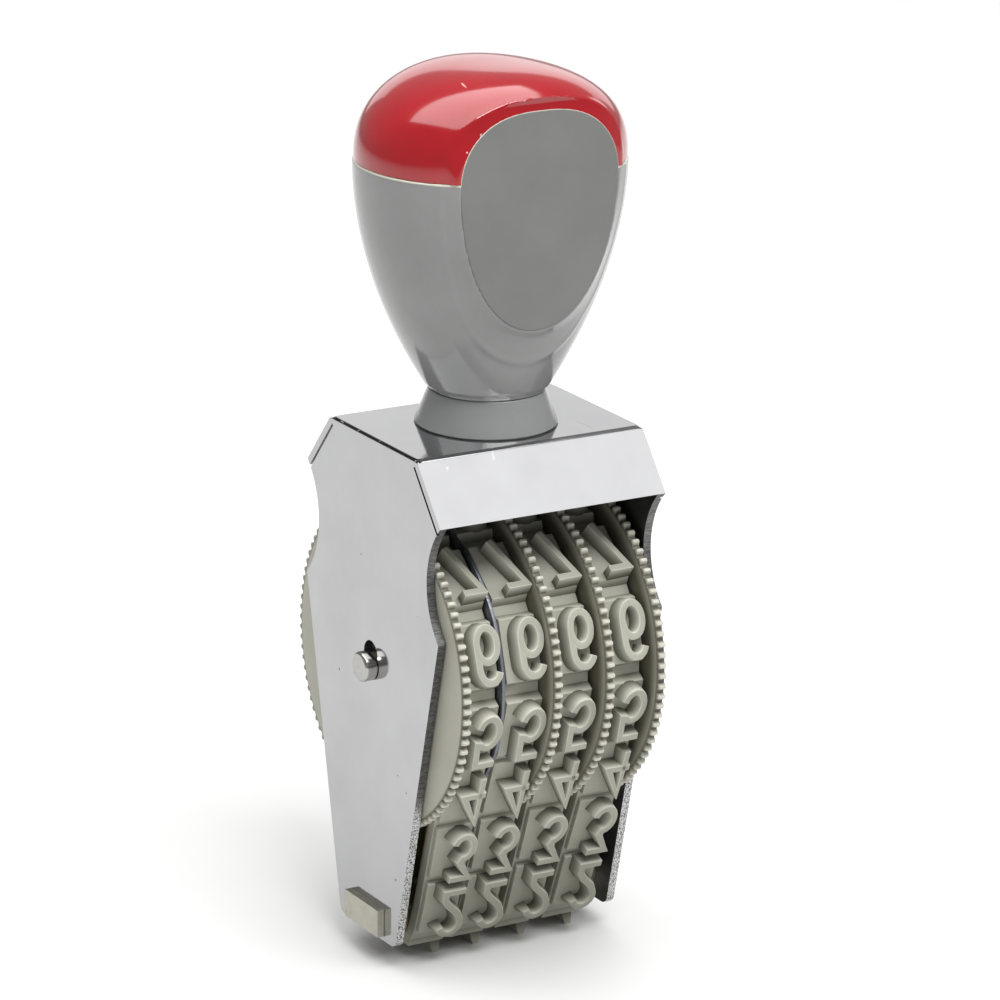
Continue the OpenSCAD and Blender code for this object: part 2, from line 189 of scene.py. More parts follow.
def put(tree, kind, inputs=None, **settings):
    made = tree.nodes.new("ShaderNode" + kind)
    for name, value in settings.items():
        setattr(made, name, value)
    for name, value in (inputs or {}).items():
        if isinstance(value, bpy.types.NodeSocket):
            tree.links.new(value, made.inputs[name])
        else:
            made.inputs[name].default_value = value
    return made


def math2(tree, operation, a, b):
    return put(tree, "Math", {0: a, 1: b}, operation=operation).outputs[0]


def ranged(tree, value, low, high, newLow=0.0, newHigh=1.0):
    return put(tree, "MapRange", {"Value": value, "From Min": low, "From Max": high, "To Min": newLow,
                                  "To Max": newHigh}).outputs["Result"]


def mixed(tree, share, a, b):
    return put(tree, "Mix", {0: share, 6: a, 7: b}, data_type="RGBA").outputs[2]


def newGroup(name, inputs, outputs):
    group = bpy.data.node_groups.new(name, "ShaderNodeTree")
    for label, kind, value in inputs:
        socket = group.interface.new_socket(label, in_out="INPUT", socket_type=kind)
        if value is not None:
            socket.default_value = value
    for label in outputs:
        group.interface.new_socket(label, in_out="OUTPUT", socket_type="NodeSocketFloat")
    return group, group.nodes.new("NodeGroupInput"), group.nodes.new("NodeGroupOutput")


def makeSpecks():
    # small round specks, kept only in a share of the cells
    group, given, out = newGroup("specks", [("Vector", "NodeSocketVector", None),
                                            ("Scale", "NodeSocketFloat", 400.0),
                                            ("Size", "NodeSocketFloat", 0.12),
                                            ("Share", "NodeSocketFloat", 0.1)], ["Mask"])
    cells = put(group, "TexVoronoi", {"Vector": given.outputs["Vector"], "Scale": given.outputs["Scale"]})
    dot = math2(group, "LESS_THAN", cells.outputs["Distance"], given.outputs["Size"])
    pick = put(group, "SeparateColor", {0: cells.outputs["Color"]})
    kept = math2(group, "LESS_THAN", pick.outputs[0], given.outputs["Share"])
    group.links.new(math2(group, "MULTIPLY", dot, kept), out.inputs["Mask"])
    return group


def makeHairlines():
    # fine broken scratches: edges of stretched cells, kept where a soft noise is high
    group, given, out = newGroup("hairlines", [("Vector", "NodeSocketVector", None),
                                               ("Scale", "NodeSocketFloat", 60.0),
                                               ("Width", "NodeSocketFloat", 0.006),
                                               ("Share", "NodeSocketFloat", 0.55)], ["Mask"])
    bent = put(group, "TexNoise", {"Vector": given.outputs["Vector"], "Scale": 90.0})
    moved = put(group, "VectorMath", {0: bent.outputs["Color"], 1: (0.004, 0.004, 0.004)}, operation="MULTIPLY")
    place = put(group, "VectorMath", {0: given.outputs["Vector"], 1: moved.outputs[0]}, operation="ADD")
    long = put(group, "Mapping", {"Vector": place.outputs[0], "Rotation": (0.4, 0.9, 0.6),
                                  "Scale": (1.0, 0.12, 0.5)})
    cells = put(group, "TexVoronoi", {"Vector": long.outputs[0], "Scale": given.outputs["Scale"]},
                feature="DISTANCE_TO_EDGE")
    line = math2(group, "LESS_THAN", cells.outputs["Distance"], given.outputs["Width"])
    soft = put(group, "TexNoise", {"Vector": given.outputs["Vector"], "Scale": 130.0})
    kept = math2(group, "GREATER_THAN", soft.outputs["Fac"], given.outputs["Share"])
    group.links.new(math2(group, "MULTIPLY", line, kept), out.inputs["Mask"])
    return group


def makeGrain():
    # two sizes of noise: a fine one for bump and a broad one for tone
    group, given, out = newGroup("grain", [("Vector", "NodeSocketVector", None),
                                           ("Fine", "NodeSocketFloat", 2500.0),
                                           ("Broad", "NodeSocketFloat", 60.0)], ["Height", "Tone"])
    fine = put(group, "TexNoise", {"Vector": given.outputs["Vector"], "Scale": given.outputs["Fine"],
                                   "Detail": 3.0})
    broad = put(group, "TexNoise", {"Vector": given.outputs["Vector"], "Scale": given.outputs["Broad"],
                                    "Detail": 4.0, "Roughness": 0.6})
    tone = ranged(group, broad.outputs["Fac"], 0.3, 0.7)
    group.links.new(fine.outputs["Fac"], out.inputs["Height"])
    group.links.new(tone, out.inputs["Tone"])
    return group


groups = {"specks": makeSpecks(), "hairlines": makeHairlines(), "grain": makeGrain()}


def useGroup(tree, name, vector, **values):
    made = tree.nodes.new("ShaderNodeGroup")
    made.node_tree = groups[name]
    tree.links.new(vector, made.inputs["Vector"])
    for label, value in values.items():
        made.inputs[label].default_value = value
    return made


def newMaterial(name):
    material = bpy.data.materials.new(name)
    material.use_nodes = True
    tree = material.node_tree
    place = put(tree, "TexCoord").outputs["Object"]
    return material, tree, tree.nodes["Principled BSDF"], place


def shade(tree, shader, **values):
    names = {"color": "Base Color", "roughness": "Roughness", "metallic": "Metallic", "normal": "Normal",
             "coat": "Coat Weight", "coatRoughness": "Coat Roughness", "specular": "Specular IOR Level",
             "sheen": "Sheen Weight"}
    for key, value in values.items():
        socket = shader.inputs[names[key]]
        if isinstance(value, bpy.types.NodeSocket):
            tree.links.new(value, socket)
        else:
            socket.default_value = value


def bumped(tree, height, strength, distance):
    return put(tree, "Bump", {"Height": height, "Strength": strength, "Distance": distance}).outputs[0]


def tint(red, green, blue):
    # screen values from 0 to 255 as a linear colour
    def linear(v):
        v /= 255
        return v / 12.92 if v <= 0.04045 else ((v + 0.055) / 1.055) ** 2.4
    return (linear(red), linear(green), linear(blue), 1.0)


# materials

def makeFloorMaterial(colour):
    material, tree, shader, place = newMaterial("paleFloor")
    grain = useGroup(tree, "grain", place, Fine=900.0, Broad=6.0)
    light = (*colour, 1)
    dark = tuple(c * 0.985 for c in colour) + (1,)
    shade(tree, shader, color=mixed(tree, grain.outputs["Tone"], dark, light), roughness=0.75, specular=0.2)
    return material


def makeChrome():
    # polished chrome with faint waves, few specks and duller hairlines
    material, tree, shader, place = newMaterial("chromeSheet")
    grain = useGroup(tree, "grain", place, Fine=400.0, Broad=90.0)
    specks = useGroup(tree, "specks", place, Scale=330.0, Size=0.06, Share=0.04)
    lines = useGroup(tree, "hairlines", place, Scale=40.0, Width=0.004, Share=0.6)
    base = mixed(tree, grain.outputs["Tone"], tint(175, 175, 177), tint(182, 182, 183))
    spotted = mixed(tree, specks.outputs["Mask"], base, tint(90, 88, 84))
    marks = math2(tree, "MULTIPLY", lines.outputs["Mask"], 0.12)
    rough = math2(tree, "ADD", ranged(tree, grain.outputs["Tone"], 0, 1, 0.07, 0.11), marks)
    shade(tree, shader, color=spotted, metallic=1.0, roughness=rough,
          normal=bumped(tree, grain.outputs["Height"], 0.25, 0.000004))
    return material


def makeSheared():
    # torn steel below the hips and a smoother dark cut above, striped across the sheet
    material, tree, shader, place = newMaterial("shearedEdge")
    stripes = put(tree, "Mapping", {"Vector": place, "Scale": (0.18, 1.0, 1.0)})
    fine = put(tree, "TexNoise", {"Vector": stripes.outputs[0], "Scale": 5200.0, "Detail": 2.0})
    pits = put(tree, "TexNoise", {"Vector": place, "Scale": 5200.0, "Detail": 3.0, "Roughness": 0.7})
    height = put(tree, "SeparateXYZ", {0: place}).outputs["Z"]
    low = ranged(tree, height, 0.028, 0.025)
    smooth = mixed(tree, ranged(tree, fine.outputs["Fac"], 0.4, 0.62), tint(92, 92, 92), tint(126, 126, 125))
    torn = mixed(tree, ranged(tree, pits.outputs["Fac"], 0.42, 0.54), tint(58, 58, 58), tint(214, 214, 212))
    shade(tree, shader, color=mixed(tree, low, smooth, torn), metallic=1.0,
          roughness=ranged(tree, pits.outputs["Fac"], 0.3, 0.7, 0.3, 0.6),
          normal=bumped(tree, pits.outputs["Fac"], 0.7, 0.00008))
    return material


def makeFoldShade():
    # painted shade along the fold: a dark line, broken by bright spots
    material, tree, shader, place = newMaterial("foldPaintedShade")
    breaks = put(tree, "TexNoise", {"Vector": place, "Scale": 1500.0, "Detail": 2.0})
    shade(tree, shader, color=mixed(tree, ranged(tree, breaks.outputs["Fac"], 0.63, 0.71), tint(18, 18, 18),
                                    tint(170, 170, 170)), metallic=0.7, roughness=0.35)
    return material


def makeSteel(name, low, high, rough):
    # brushed across the object, with a few dark specks
    material, tree, shader, place = newMaterial(name)
    grain = useGroup(tree, "grain", place, Fine=1800.0, Broad=260.0)
    lines = put(tree, "Mapping", {"Vector": place, "Scale": (0.05, 1, 1)})
    brushed = put(tree, "TexNoise", {"Vector": lines.outputs[0], "Scale": 3800.0, "Detail": 2.0})
    specks = useGroup(tree, "specks", place, Scale=900.0, Size=0.14, Share=0.1)
    base = mixed(tree, grain.outputs["Tone"], low, high)
    shade(tree, shader, color=mixed(tree, specks.outputs["Mask"], base, tint(60, 58, 54)), metallic=1.0,
          roughness=ranged(tree, brushed.outputs["Fac"], 0.35, 0.65, rough * 0.8, rough * 1.3),
          normal=bumped(tree, brushed.outputs["Fac"], 0.35, 0.00001))
    return material


def makePlastic(name, low, high, rough, grainSize=2600.0, bump=0.15, coat=0.0, specular=0.5, marks=0.0,
                dust=0.0, rim=None, shadeTint=None):
    # moulded plastic or rubber: tone, grain, scratches and dust; "edge" is lighter as a painted highlight,
    # "deep" is darker as painted shade (on the bands also darker towards the platen bar)
    material, tree, shader, place = newMaterial(name)
    grain = useGroup(tree, "grain", place, Fine=grainSize, Broad=120.0)
    colour = mixed(tree, grain.outputs["Tone"], low, high)
    roughness = ranged(tree, grain.outputs["Tone"], 0, 1, rough * 0.9, rough * 1.12)
    # painted highlight where the "edge" attribute is set
    if rim:
        edge = put(tree, "Attribute", attribute_name="edge").outputs["Fac"]
        colour = mixed(tree, edge, colour, rim)
    # painted shade where the "deep" attribute is set
    if shadeTint:
        deep = put(tree, "Attribute", attribute_name="deep").outputs["Fac"]
        colour = mixed(tree, deep, colour, shadeTint)
    if marks:
        lines = useGroup(tree, "hairlines", place, Scale=45.0, Width=0.0022, Share=0.56)
        colour = mixed(tree, math2(tree, "MULTIPLY", lines.outputs["Mask"], marks), colour, tint(240, 205, 200))
        roughness = math2(tree, "ADD", roughness, math2(tree, "MULTIPLY", lines.outputs["Mask"], 0.3))
    if dust:
        specks = useGroup(tree, "specks", place, Scale=700.0, Size=0.085, Share=dust)
        colour = mixed(tree, specks.outputs["Mask"], colour, tint(240, 200, 195))
    shade(tree, shader, color=colour, roughness=roughness, specular=specular, coat=coat, coatRoughness=0.08,
          normal=bumped(tree, grain.outputs["Height"], bump, 0.00002))
    return material


def makeCloth():
    # plain weave on the strip's own map: one thread over, one thread under
    material, tree, shader, place = newMaterial("bandCloth")
    strip = put(tree, "UVMap", uv_map="strip").outputs[0]
    warp = put(tree, "TexWave", {"Vector": strip, "Scale": 1.0, "Distortion": 0.6, "Detail": 1.0},
               wave_type="BANDS", bands_direction="X")
    weft = put(tree, "TexWave", {"Vector": strip, "Scale": 1.0, "Distortion": 0.6, "Detail": 1.0},
               wave_type="BANDS", bands_direction="Y")
    weave = math2(tree, "MULTIPLY", warp.outputs["Fac"], weft.outputs["Fac"])
    grain = useGroup(tree, "grain", place, Fine=3000.0, Broad=300.0)
    colour = mixed(tree, weave, tint(112, 100, 66), tint(176, 162, 120))
    shade(tree, shader, color=mixed(tree, grain.outputs["Tone"], colour, tint(140, 128, 92)), roughness=0.9,
          sheen=0.2, normal=bumped(tree, weave, 0.8, 0.00012))
    return material


mats = {
    "chrome": makeChrome(),
    "sheared": makeSheared(),
    "crease": makeFoldShade(),
    # darker, duller copy of the sheet's steel for its inside faces, as painted shade
    "inside": makeSteel("insideShadeSteel", tint(96, 96, 96), tint(116, 116, 116), 0.4),
    "axle": makeSteel("axleSteel", tint(164, 163, 160), tint(190, 189, 186), 0.2),
    "bar": makeSteel("barSteel", tint(172, 169, 157), tint(192, 189, 177), 0.38),
    "disc": makeSteel("discSteel", tint(116, 118, 128), tint(138, 140, 148), 0.5),
    # wheel rim tint is a painted highlight on the tooth tips, the darker tint painted shade
    "wheel": makePlastic("wheelPlastic", tint(162, 160, 147), tint(172, 170, 157), 0.45, bump=0.1,
                         rim=tint(198, 196, 183), shadeTint=tint(100, 97, 83)),
    # rubber rim tint is a painted highlight on top edges, the darker tint painted shade at the feet
    "rubber": makePlastic("bandRubber", tint(158, 158, 146), tint(168, 168, 156), 0.7, grainSize=3200.0,
                          bump=0.3, specular=0.3, rim=tint(202, 201, 188), shadeTint=tint(88, 86, 74)),
    "cloth": makeCloth(),
    # the grip's rim tint is a painted highlight along its rounded top seam
    "grip": makePlastic("handleGrey", tint(126, 127, 126), tint(132, 133, 132), 0.16, grainSize=500.0,
                        bump=0.05, coat=0.35, rim=tint(205, 204, 188)),
    "collar": makePlastic("collarGrey", tint(130, 131, 131), tint(137, 138, 138), 0.2, grainSize=500.0,
                          bump=0.05, coat=0.3),
    "cap": makePlastic("capRed", tint(150, 2, 16), tint(162, 5, 20), 0.14, grainSize=420.0, bump=0.05,
                       coat=0.75, marks=0.5, dust=0.05),
    # label rim tint is a painted highlight on the plate's upper rim, the darker tint painted shade on its lower
    # rim
    "label": makePlastic("labelGrey", tint(113, 114, 112), tint(119, 120, 118), 0.55, grainSize=2200.0,
                         bump=0.25, specular=0.35, rim=tint(214, 213, 198), shadeTint=tint(96, 96, 94)),
}
print("materials made")


# frame: one sheet folded from a top plate into two cheeks and two lips

sheet = {"thick": 1.2, "drop": 8, "topDepth": 24, "foldRadius": 0.5, "lipFold": 0.8, "edgeRadius": 0.1,
         "seamWidth": 0.4, "seamDepth": 0.45, "seamShift": 0.5, "seamExtra": 0.1}
frameSlots = ["chrome", "sheared", "crease", "inside"]


def seamCutter(p, high):
    # thin slits in the cheeks, where each lip lies on the cheek's slanted edge
    bm = bmesh.new()
    lipLow = Vector((0, high.y, high.z - p["drop"]))
    lipHigh = Vector((0, p["topDepth"] / 2, high.z))
    along = (lipHigh - lipLow).normalized()
    inward = Vector((0, -along.z, along.y))
    length = (lipHigh - lipLow).length
    middle = (lipLow + lipHigh) / 2 + inward * p["thick"] - along * p["seamShift"]
    for side in (-1, 1):
        for front in (-1, 1):
            made = bmesh.ops.create_cube(bm, size=1)["verts"]
            spot = Matrix.Translation(middle + Vector((high.x, 0, 0))) @ turnedTo((1, 0, 0), along, inward)
            bmesh.ops.scale(bm, vec=(2 * p["seamDepth"], length + p["seamExtra"], p["seamWidth"]), verts=made)
            bmesh.ops.transform(bm, matrix=spot, verts=made)
            bmesh.ops.scale(bm, vec=(side, front, 1), verts=made)
    bmesh.ops.recalc_face_normals(bm, faces=bm.faces)
    return bm


def cutWith(bm, cutter):
    # boolean difference of two closed shapes
    pair = []
    for name, shape in (("body", bm), ("cutter", cutter)):
        mesh = bpy.data.meshes.new(name)
        shape.to_mesh(mesh)
        shape.free()
        pair.append(bpy.data.objects.new(name, mesh))
        bpy.context.scene.collection.objects.link(pair[-1])
    cut = pair[0].modifiers.new("cut", "BOOLEAN")
    cut.operation = "DIFFERENCE"
    cut.solver = "EXACT"
    cut.object = pair[1]
    bpy.context.view_layer.update()
    result = bpy.data.meshes.new_from_object(pair[0].evaluated_get(bpy.context.evaluated_depsgraph_get()))
    out = bmesh.new()
    out.from_mesh(result)
    for piece in pair:
        data = piece.data
        bpy.data.objects.remove(piece)
        bpy.data.meshes.remove(data)
    bpy.data.meshes.remove(result)
    return out


def makeFrame(p):
    high = cadBox("frame")[1]
    top, lipFoot = high.z, high.z - p["drop"]
    bm = cutWith(nodeCopy("frame"), seamCutter(p, high))
    bmesh.ops.remove_doubles(bm, verts=bm.verts, dist=0.002)

    def near(edge, test):
        return all(test(v.co) for v in edge.verts)
    folds = [e for e in bm.edges if near(e, lambda c: abs(abs(c.x) - high.x) < 0.01 and abs(c.z - top) < 0.01)]
    bevelEdges(bm, folds, p["foldRadius"], 4)
    lips = [e for e in sharpEdges(bm, 30)
            if near(e, lambda c: abs(abs(c.y) - p["topDepth"] / 2) < 0.3 and abs(c.z - top) < 0.3)]
    bevelEdges(bm, lips, p["lipFold"], 4)
    bevelEdges(bm, sharpEdges(bm, 30), p["edgeRadius"], 2)
    cheekInside = high.x - p["thick"]
    # each face gets its metal by where it is and which way it looks
    for face in bm.faces:
        face.normal_update()
        normal, centre = face.normal, face.calc_center_median()
        across = abs(centre.x)
        onCheek = across > cheekInside - 0.05
        if abs(normal.x) < 0.3 and centre.z < lipFoot + 0.2 and (onCheek or normal.z < -0.9):
            face.material_index = frameSlots.index("sheared")
        # faces inside the cheeks and under the lips take the darker steel as painted shade
        underLip = normal.z < -0.3 and centre.z > lipFoot
        if across < cheekInside + 0.02 and (abs(normal.x) > 0.9 or underLip):
            face.material_index = frameSlots.index("inside")
        # the rounded faces of the cheek folds take the painted fold shade
        atFold = across > high.x - p["foldRadius"] and centre.z > top - p["foldRadius"]
        if atFold and 0.3 < normal.z < 0.95:
            face.material_index = frameSlots.index("crease")
    finishPiece(bm, "frame_sheet", "housing", ["frame"],
                [mats[name] for name in frameSlots], sharp=40)


# number wheels: a toothed flange, an eleven-sided drum and a hub

wheel = {"teeth": 96, "perTooth": 8, "toothDepth": 0.75, "flange": 1.3, "tipShare": 0.1, "rootShare": 0.4,
         "round": 0.24, "shadeWidth": 1.4, "dishWidth": 2.6, "bore": 2.55, "hub": 4.5, "hubSides": 48,
         "flats": 11, "drum": 17.02, "wall": 1.6, "drumEdge": 0.1, "tipStep": 0.09,
         # radius past the roots, step in from the face, share of the tooth depth
         "rootSteps": [(-0.35, 0.04, 0), (-0.02, 0.06, 0), (0.03, 0.08, 0.9)]}


def toothGap(angle, p):
    # 1 in the middle of a gap between teeth, 0 on a tooth
    phase = (angle / (2 * math.pi) * p["teeth"]) % 1
    step = min(1, max(0, (abs((phase + 0.5) % 1 - 0.5) - p["tipShare"]) / (p["rootShare"] - p["tipShare"])))
    return step * step * (3 - 2 * step)


def ringSet(bm, rings, segments, shape):
    # closed body of rings: a grid is bent round, each row becoming one ring
    made = bmesh.ops.create_grid(bm, x_segments=segments, y_segments=len(rings), size=1)["verts"]
    for vert in made:
        turn = (vert.co.x + 1) * math.pi
        row = round((vert.co.y + 1) / 2 * len(rings)) % len(rings)
        vert.co = shape(turn, *rings[row])
    bmesh.ops.remove_doubles(bm, verts=made, dist=0.0005)


def makeWheel(index, p):
    node = f"number_wheel_{index}"
    low, high = cadBox(node)
    outer = high.z - axleHeight
    bm = bmesh.new()
    edge = bm.verts.layers.float.new("edge")
    deep = bm.verts.layers.float.new("deep")
    flangeX = low.x if index == 1 else high.x - p["flange"]
    t, r, step = p["flange"], p["round"], p["tipStep"]
    root = outer - p["toothDepth"]
    # radius, place across the flange, share of the tooth depth
    half = [(p["bore"], 0, 0), (p["hub"], 0, 0), (outer - p["dishWidth"], 0, 0)]
    half += [(root + past, across, share) for past, across, share in p["rootSteps"]]
    half += [(outer - r, step, 1), (outer - r * 0.3, step + r * 0.3, 1), (outer, step + r, 1)]
    rings = half + [(outer, t / 2, 1)] + [(a, t - b, c) for a, b, c in reversed(half)]

    def spot(turn, radius, across, share):
        dip = toothGap(turn, p) * share * p["toothDepth"]
        radius = max(radius - dip, min(radius, root - 0.02))
        return Vector((flangeX + across, radius * math.sin(turn), axleHeight + radius * math.cos(turn)))
    ringSet(bm, rings, p["teeth"] * p["perTooth"], spot)
    # painted light: tooth tips lighter as a painted highlight, roots darker as painted shade, and on wheels 2
    # to 4 the flange side darkens towards the drum as painted shade
    for vert in bm.verts:
        radius = math.hypot(vert.co.y, vert.co.z - axleHeight)
        if radius > root - 0.1:
            vert[deep] = max(0.0, min(1.0, (outer - 0.2 - radius) / 0.5))
            vert[edge] = 1 - vert[deep]
        if index > 1 and radius < root:
            vert[deep] = max(vert[deep], min(1.0, (root - radius) / p["shadeWidth"]))
    # drum and hub, open at both ends
    soft = p["drumEdge"]
    drumLow, drumHigh = (flangeX + t, high.x) if index == 1 else (low.x, flangeX)
    inner = p["drum"] * math.cos(math.pi / p["flats"]) - p["wall"]
    for rOut, rIn, count in ((p["drum"], inner, p["flats"]), (p["hub"], p["bore"], p["hubSides"])):
        rings = [(rIn, drumLow), (rOut - soft, drumLow), (rOut, drumLow + soft), (rOut, drumHigh - soft),
                 (rOut - soft, drumHigh), (rIn, drumHigh)]
        part = bmesh.new()
        ringSet(part, rings, count, lambda turn, radius, x: Vector(
            (x, radius * math.sin(turn), axleHeight + radius * math.cos(turn))))
        pour(bm, part)
    finishPiece(bm, f"number_wheel_{index}_moulded", f"wheel_{index}", [node], [mats["wheel"]],
                sharp=50, merge=0.0002)


# type bands: a woven backing, a rubber strip, blocks with V grooves between them, and raised numerals

band = {"pitch": 10.17, "flats": 11, "cloth": 0.4, "strip": 1.25, "rubber": 2.0, "relief": 2.0,
        "barEdge": 1.0, "barGap": 0.05,
        # strip and cloth round the loop
        "steps": 170, "stripSoft": 0.08, "clothSoft": 0.12, "clothGap": 0.02, "thread": 0.42,
        # blocks, each turned a little by chance (degrees)
        "ledge": 0.35, "chamfer": 0.5, "groove": 0.42, "skew": 0.4, "blockFoot": 0.5, "blockSoft": 0.1,
        # blockRim and blockRimTint: painted highlight along each block's top edge; footDepth and footTint:
        # painted shade on its lower part
        "blockRim": 0.11, "blockRimTint": 0.55, "footDepth": 0.6, "footTint": 0.7, "blanks": 4,
        # numerals
        "numerals": 10, "stroke": 0.96, "halfHeight": 3.82, "halfWidth": 1.6, "margin": 0.02, "sink": 0.15,
        # tipRim: painted highlight round each numeral's top; strokeFoot: painted shade at its foot
        "draft": 0.16, "leftDraft": 0.46, "tipSoft": 0.13, "tipRim": 0.16, "strokeFoot": 0.1, "skip": 0.005,
        "miterLimit": 0.45, "secondLower": 0.004,
        # sideways lean of each band, between two heights, and how much darker the bands are painted towards the
        # platen bar
        "lean": [0.95, 0.62, 0.2, -0.42], "leanFrom": 26, "leanTo": 9, "darkenTowardsBar": 0.4}


def loopOf(p):
    barLow, barHigh = cadBox("platen_bar")
    loop = dict(p)
    loop["bottom"] = p["relief"] + p["rubber"] + p["cloth"]
    loop["radius"] = p["pitch"] / (2 * math.tan(math.pi / p["flats"]))
    loop["bend"] = p["barEdge"] + p["barGap"]
    loop["bendY"] = barHigh.y - p["barEdge"]
    loop["bendZ"] = loop["bottom"] + loop["bend"]
    rise = axleHeight - loop["bendZ"]
    arm = math.hypot(loop["bendY"], rise)
    gap = loop["radius"] - loop["bend"]
    loop["run"] = math.sqrt(arm * arm - gap * gap)
    loop["turn"] = math.atan2(loop["bendY"], rise) + math.acos(gap / arm)
    loop["bendLength"] = loop["bend"] * loop["turn"]
    loop["length"] = 2 * (loop["bendY"] + loop["bendLength"] + loop["run"]
                          + loop["radius"] * (math.pi - loop["turn"]))
    return loop


def onLoop(s, q):
    # place and outward angle on the inner line, s from the middle of the bar, positive up the front
    if s < 0:
        y, z, angle = onLoop(-s, q)
        return -y, z, -angle
    turn = q["turn"]
    if s <= q["bendY"]:
        return -s, q["bottom"], 0.0
    if s <= q["bendY"] + q["bendLength"]:
        angle = (s - q["bendY"]) / q["bend"]
        return -q["bendY"] - q["bend"] * math.sin(angle), q["bendZ"] - q["bend"] * math.cos(angle), angle
    far = s - q["bendY"] - q["bendLength"]
    if far <= q["run"]:
        return (-q["bendY"] - q["bend"] * math.sin(turn) - far * math.cos(turn),
                q["bendZ"] - q["bend"] * math.cos(turn) + far * math.sin(turn), turn)
    angle = turn + (far - q["run"]) / q["radius"]
    return -q["radius"] * math.sin(angle), axleHeight - q["radius"] * math.cos(angle), angle


def wrapped(s, x, out, q):
    y, z, angle = onLoop(s, q)
    return Vector((x, y - out * math.sin(angle), z - out * math.cos(angle)))


def blockPlace(s, x, q):
    # local x stays across, local y runs along the band, local z points outward
    y, z, angle = onLoop(s, q)
    out = Vector((0, -math.sin(angle), -math.cos(angle)))
    along = Vector((0, -math.cos(angle), math.sin(angle)))
    return Matrix.Translation((x, y, z)) @ turnedTo((1, 0, 0), along, out)


def stripBody(bm, x, width, low, high, q, soft):
    # closed strip bent round the loop
    made = bmesh.new()
    bmesh.ops.create_cube(made, size=1)
    bmesh.ops.scale(made, vec=(width, q["length"], high - low), verts=made.verts)
    bmesh.ops.translate(made, vec=(x + width / 2, 0, (low + high) / 2), verts=made.verts)
    ends = [f for f in made.faces if abs(f.calc_center_median().y) > q["length"] / 2 - 0.1]
    bmesh.ops.delete(made, geom=ends, context="FACES_ONLY")
    lengthwise = [e for e in made.edges if abs(e.verts[0].co.y - e.verts[1].co.y) > 1]
    bevelEdges(made, lengthwise, soft, 2)
    lengthwise = [e for e in made.edges if abs(e.verts[0].co.y - e.verts[1].co.y) > 1]
    bmesh.ops.subdivide_edges(made, edges=lengthwise, cuts=q["steps"], use_grid_fill=True)
    uv = made.loops.layers.uv.new("strip")
    for face in made.faces:
        for corner in face.loops:
            corner[uv].uv = (corner.vert.co.x / q["thread"], corner.vert.co.y / q["thread"])
    start = 0.25 * q["length"]  # the ends meet at the back
    for vert in made.verts:
        s = vert.co.y + start
        vert.co = wrapped(s if s <= q["length"] / 2 + start else s - q["length"], vert.co.x, vert.co.z, q)
    bmesh.ops.remove_doubles(made, verts=made.verts, dist=0.005)
    pour(bm, made)


def arcPoints(cx, cy, rx, ry, start, end, count=12):
    return [(cx + rx * math.cos(math.radians(start + (end - start) * k / count)),
             cy + ry * math.sin(math.radians(start + (end - start) * k / count))) for k in range(count + 1)]


def numeralStrokes(k, p):
    # centre lines of upright numeral k; a stroke is (points, closed)
    a, b = p["halfWidth"], p["halfHeight"]
    bowl = 0.62 * b
    if k == 0:
        return [(arcPoints(0, b - a, a, a, 180, 0) + arcPoints(0, a - b, a, a, 0, -180), True)]
    if k == 1:
        return [([(a * 0.75, -b), (a * 0.75, b), (-a * 0.6, b - 1.5)], False)]
    if k == 2:
        return [([(a, -b), (-a * 0.95, -b), (-a * 0.9, -b + 1.3), (-a * 0.35, -b + 2.6), (a * 0.6, -b + 4.1)]
                 + arcPoints(0, b - 1.7, a, 1.7, -20, 165, 14), False)]
    if k == 3:
        return [([(-a, b), (a, b), (-a * 0.15, b - 3.0)]
                 + arcPoints(0, -b + bowl - 0.35, a, bowl - 0.35, 88, -160, 18), False)]
    if k == 4:
        return [([(a * 0.55, -b), (a * 0.5, b), (-a, -0.9), (a * 1.1, -0.9)], False)]
    if k == 5:
        return [([(a, b), (-a * 0.85, b), (-a * 0.95, 0.3)]
                 + arcPoints(0, -b + bowl, a, bowl, 128, -160, 18), False)]
    if k in (6, 9):
        turn = 1 if k == 6 else -1
        loop = arcPoints(0, -b + bowl, a, bowl, 90, 450, 28)[:-1]
        tail = [(-a, -b + bowl + 0.1), (-a * 0.98, b * 0.25)] + arcPoints(0.05, b - 2.0, a, 2.0, 170, 20, 12)
        return [([(turn * x, turn * y) for x, y in points], closed)
                for points, closed in ((loop, True), (tail, False))]
    if k == 7:
        return [([(-a, b), (a, b), (-a * 0.75, -b)], False)]
    return [(arcPoints(0, side * (b / 2), a, b / 2, 90, 450, 24)[:-1], True) for side in (-1, 1)]


